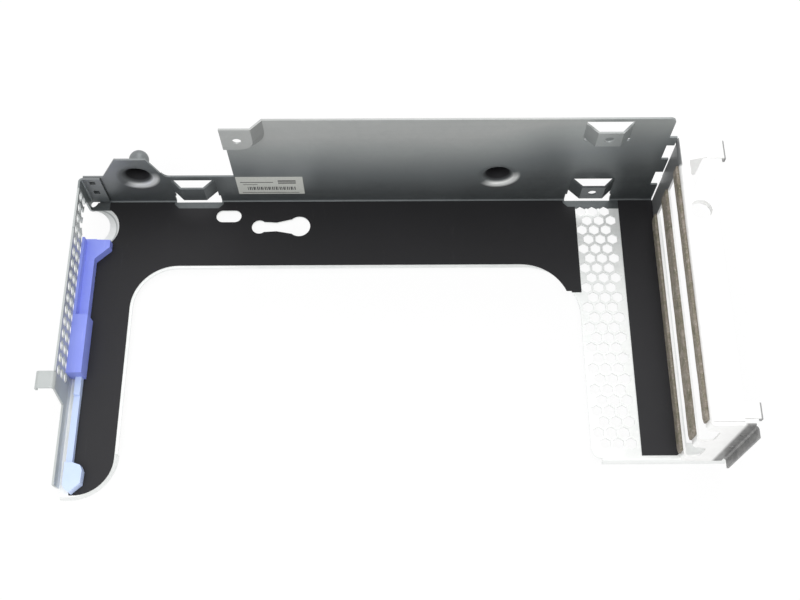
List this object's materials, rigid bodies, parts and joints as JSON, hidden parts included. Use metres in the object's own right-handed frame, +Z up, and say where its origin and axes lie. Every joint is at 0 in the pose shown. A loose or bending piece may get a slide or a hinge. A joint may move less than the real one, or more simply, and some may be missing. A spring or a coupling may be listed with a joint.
{
  "type": "riser cage bracket",
  "caption": "Folded sheet metal riser cage with a slotted end panel, insulating film, foam strips and a plastic card guide.",
  "frame": {"origin": "middle of the bounding box's base, under the front lips", "axes": "+X along the rear wall from the left wall to the slot panel, +Y to the rear, +Z up from the deck"},
  "size_m": [0.2646, 0.1406, 0.0647],
  "materials": {
    "cage_metal": "galvanised steel sheet, fine spangle, satin",
    "panel_metal": "plated steel sheet, bright satin",
    "insulator": "black insulating film, matte",
    "foam": "conductive fabric over foam, mottled grey-brown",
    "guide_plastic": "moulded blue plastic, semi-matte",
    "rail_plastic": "moulded pale blue plastic, semi-matte",
    "label_paper": "blank paper label, matte"
  },
  "bodies": {
    "root": {"cage_frame": "cage_metal", "slot_panel": "panel_metal", "insulator_main": "insulator", "insulator_side": "insulator", "gasket_lower": "foam", "gasket_middle": "foam", "gasket_upper": "foam", "card_guide": "guide_plastic", "guide_rail": "rail_plastic", "label": "label_paper"}
  },
  "joints": []
}
